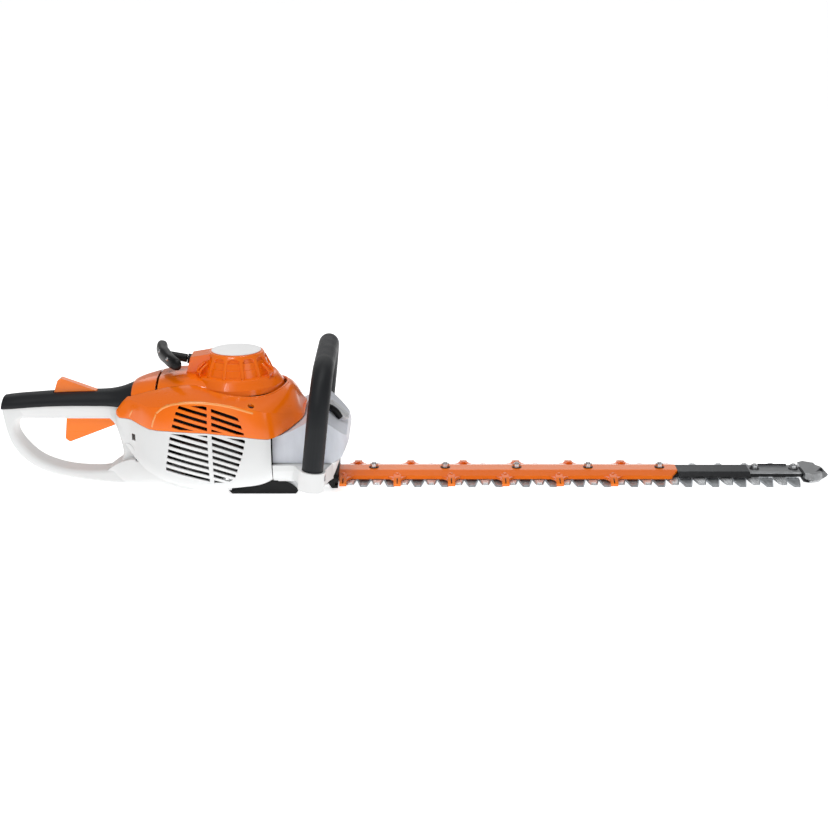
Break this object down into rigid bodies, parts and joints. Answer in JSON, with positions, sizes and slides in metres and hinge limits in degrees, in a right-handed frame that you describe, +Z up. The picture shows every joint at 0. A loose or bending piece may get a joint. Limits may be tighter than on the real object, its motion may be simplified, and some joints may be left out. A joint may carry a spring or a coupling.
{
  "type": "hedge trimmer",
  "caption": "Petrol hedge trimmer: double-sided reciprocating cutter bar with finger guard, engine under a two-colour hood, looped front handle and D-shaped rear handle.",
  "frame": {"origin": "centre of the resting face of the sole under the engine, on the plane of the rear handle and the cutter bar", "axes": "+X along the cutter bar towards its tip, +Z up, -Y towards the side with the muffler grille"},
  "size_m": [1.0345, 0.2612, 0.1762],
  "materials": {
    "shell_plastic": "satin",
    "hood_plastic": "gloss",
    "grip_plastic": "fine grain",
    "black_plastic": "satin",
    "tank_plastic": "frosted translucent",
    "cap_plastic": "satin",
    "red_plastic": "gloss",
    "label_film": "satin film",
    "clear_rubber": "translucent",
    "cast_aluminium": "cast",
    "grey_metal": "satin",
    "blade_steel": "ground",
    "dark_steel": "blackened",
    "zinc_steel": "zinc plated",
    "hot_steel": "heat tinted",
    "brass": "machined",
    "ceramic": "glazed",
    "rubber": "matte",
    "rope_fibre": "braided",
    "filter_foam": "felt"
  },
  "bodies": {
    "housing": {"rear_handle": "shell_plastic", "grip_cover": "grip_plastic", "engine_shroud": "hood_plastic", "filter_cover": "hood_plastic", "lower_shell": "shell_plastic", "starter_cover": "hood_plastic", "starter_label": "label_film", "fuel_tank": "tank_plastic", "front_base": "shell_plastic", "gear_case": "cast_aluminium", "gear_case_lid": "cast_aluminium", "sole": "black_plastic", "front_handle": "grip_plastic", "housing_screws": "dark_steel", "bar_mount": "black_plastic", "guide_bar": "dark_steel", "finger_guard": "hood_plastic", "tip_plate": "grey_metal", "nose_guard": "grey_metal", "bar_bolts": "zinc_steel", "bar_nuts": "zinc_steel", "bar_spacers": "zinc_steel", "crankcase": "cast_aluminium", "cylinder": "cast_aluminium", "shaft_bearings": "zinc_steel", "spark_plug": "ceramic", "plug_cap": "rubber", "muffler": "hot_steel", "intake_manifold": "rubber", "carburettor": "cast_aluminium", "air_duct": "black_plastic", "air_filter": "filter_foam", "recoil_spring": "zinc_steel", "rope_bush": "black_plastic", "ignition_coil": "dark_steel", "rubber_buffers": "rubber", "throttle_cable": "rubber", "lever_pins": "zinc_steel"},
    "trigger": {"throttle_trigger": "hood_plastic"},
    "lock": {"throttle_lock": "hood_plastic"},
    "throttle": {"throttle_valve": "brass"},
    "pull_grip": {"starter_grip": "black_plastic", "starter_rope": "rope_fibre"},
    "pulley": {"starter_pulley": "black_plastic"},
    "crank": {"crankshaft": "zinc_steel", "clutch_shoes": "zinc_steel", "flywheel": "cast_aluminium"},
    "drum": {"clutch_drum": "zinc_steel", "drive_pinion": "zinc_steel"},
    "gear": {"drive_gear": "zinc_steel"},
    "blade_a": {"upper_blade": "blade_steel", "upper_rod": "zinc_steel"},
    "blade_b": {"lower_blade": "blade_steel", "lower_rod": "zinc_steel"},
    "piston_body": {"piston": "cast_aluminium", "piston_rod": "zinc_steel"},
    "cap": {"fuel_cap": "cap_plastic"},
    "choke": {"choke_lever": "black_plastic"},
    "primer": {"primer_bulb": "clear_rubber"},
    "stop": {"stop_button": "red_plastic"}
  },
  "joints": [
    {"name": "trigger_pull", "type": "hinge", "parent": "housing", "child": "trigger", "pos_m": [-0.191, 0, 0.089], "axis": [0, 1, 0], "range_deg": [0, 12], "stiffness_Nm_per_rad": 1, "springref_deg": -8.59},
    {"name": "lock_press", "type": "hinge", "parent": "housing", "child": "lock", "pos_m": [-0.211, 0, 0.11], "axis": [0, -1, 0], "range_deg": [0, 12], "stiffness_Nm_per_rad": 0.8, "springref_deg": -8.59},
    {"name": "throttle_open", "type": "hinge", "parent": "housing", "child": "throttle", "pos_m": [-0.147, -0.006, 0.068], "axis": [0, 0, 1], "range_deg": [0, 76]},
    {"name": "starter_pull", "type": "slide", "parent": "housing", "child": "pull_grip", "axis": [-0.9848, 0, 0.1736], "range_m": [0, 0.6], "stiffness_N_per_m": 20, "springref_m": -0.15, "deforming": ["starter_rope"]},
    {"name": "pulley_spin", "type": "hinge", "parent": "housing", "child": "pulley", "pos_m": [-0.037, 0, 0.1535], "axis": [0, 0, 1], "range_deg": [0, 1240]},
    {"name": "crank_spin", "type": "hinge", "parent": "housing", "child": "crank", "pos_m": [-0.037, 0, 0.075], "axis": [0, 0, 1], "continuous": true},
    {"name": "gear_spin", "type": "hinge", "parent": "housing", "child": "gear", "pos_m": [0.014, 0, 0.018], "axis": [0, 0, 1], "continuous": true},
    {"name": "drum_spin", "type": "hinge", "parent": "housing", "child": "drum", "pos_m": [-0.037, 0, 0.018], "axis": [0, 0, 1], "continuous": true},
    {"name": "upper_blade_stroke", "type": "slide", "parent": "housing", "child": "blade_a", "axis": [1, 0, 0], "range_m": [-0.0084, 0.0084], "deforming": ["upper_rod"]},
    {"name": "lower_blade_stroke", "type": "slide", "parent": "housing", "child": "blade_b", "axis": [1, 0, 0], "range_m": [-0.0084, 0.0084], "deforming": ["lower_rod"]},
    {"name": "piston_stroke", "type": "slide", "parent": "housing", "child": "piston_body", "axis": [1, 0, 0], "range_m": [0, 0.026], "deforming": ["piston_rod"]},
    {"name": "cap_turn", "type": "hinge", "parent": "housing", "child": "cap", "pos_m": [0.086, 0, 0.091], "axis": [0.6691, 0, 0.7431], "range_deg": [0, 90]},
    {"name": "choke_turn", "type": "hinge", "parent": "housing", "child": "choke", "pos_m": [-0.146, 0.066, 0.104], "axis": [0, -1, 0], "range_deg": [0, 75]},
    {"name": "primer_press", "type": "slide", "parent": "housing", "child": "primer", "axis": [0, -1, 0], "range_m": [0, 0.004], "stiffness_N_per_m": 300, "springref_m": -0.001},
    {"name": "stop_press", "type": "slide", "parent": "housing", "child": "stop", "axis": [0, -1, 0], "range_m": [0, 0.003], "stiffness_N_per_m": 400, "springref_m": -0.001}
  ],
  "couplings": [
    {"joint": "throttle_open", "follows": "trigger_pull", "ratio": 6.25},
    {"joint": "pulley_spin", "follows": "starter_pull", "rad_per_m": 35.714},
    {"joint": "drum_spin", "follows": "gear_spin", "ratio": -4.6667},
    {"joint": "lower_blade_stroke", "follows": "upper_blade_stroke", "ratio": -1}
  ]
}
